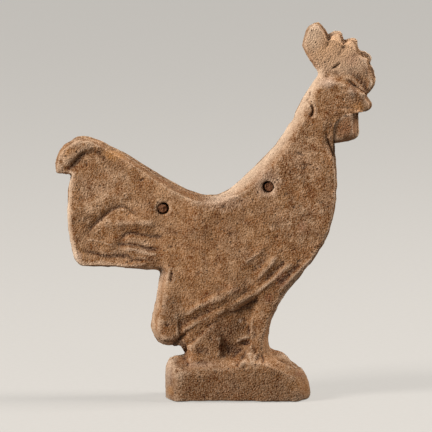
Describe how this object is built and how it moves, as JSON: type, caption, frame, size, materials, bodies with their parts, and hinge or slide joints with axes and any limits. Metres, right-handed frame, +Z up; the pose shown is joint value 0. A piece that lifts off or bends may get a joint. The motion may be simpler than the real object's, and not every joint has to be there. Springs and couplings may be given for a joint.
{
  "type": "terracotta rooster figurine",
  "caption": "Mould-made hollow clay rooster standing on a low plinth, its two pressed halves joined by slip, with applied wattles and iron pins through the flanks.",
  "frame": {"origin": "on the standing surface, under the middle of the figure's length and depth", "axes": "+X towards the beak, +Y towards the figure's left flank, +Z up from the plinth"},
  "size_m": [0.1262, 0.0363, 0.1486],
  "materials": {
    "terracotta": "matt, gritty, worn",
    "slip": "matt, smoothed along the joint",
    "wattle_clay": "matt, traces of red colour",
    "iron": "corroded"
  },
  "bodies": {
    "root": {"right_half": "terracotta", "left_half": "terracotta", "slip_seam": "slip", "right_wattle": "wattle_clay", "left_wattle": "wattle_clay", "shoulder_pin": "iron", "tail_pin": "iron"}
  },
  "joints": []
}
